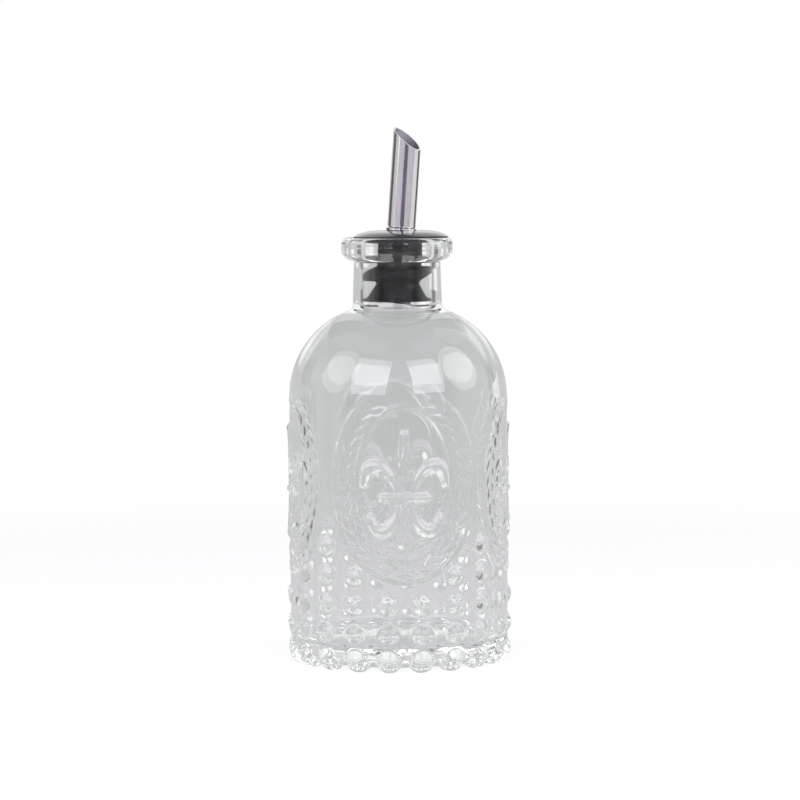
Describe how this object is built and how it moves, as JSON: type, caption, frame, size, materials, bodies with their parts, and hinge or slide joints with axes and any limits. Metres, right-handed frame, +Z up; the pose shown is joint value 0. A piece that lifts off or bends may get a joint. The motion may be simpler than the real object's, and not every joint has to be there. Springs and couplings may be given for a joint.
{
  "type": "sugar dispenser bottle with pouring spout",
  "caption": "Round pressed-glass bottle with beads and oval medallions in relief, closed by a finned rubber stopper that carries a leaning steel pouring tube.",
  "frame": {"origin": "centre of the foot, on the table, on the bottle's axis", "axes": "+Z up along the bottle's axis, -Y out through the front medallion, +X to the viewer's right, the way the spout leans"},
  "size_m": [0.067, 0.067, 0.1592],
  "materials": {
    "glass": "clear pressed glass, smooth inside, soft mould edges outside",
    "rubber": "black moulded rubber, satin",
    "steel": "polished stainless steel tube"
  },
  "bodies": {
    "bottle": {"glass_bottle": "glass"},
    "stopper": {"rubber_stopper": "rubber"},
    "spout": {"spout_tube": "steel"}
  },
  "joints": [
    {"name": "stopper_lift", "type": "slide", "parent": "bottle", "child": "stopper", "axis": [0, 0, 1], "range_m": [0, 0.05]},
    {"name": "spout_turn", "type": "hinge", "parent": "stopper", "child": "spout", "pos_m": [0, 0, 0.1103], "axis": [0.0715, 0, 0.9974], "continuous": true}
  ]
}
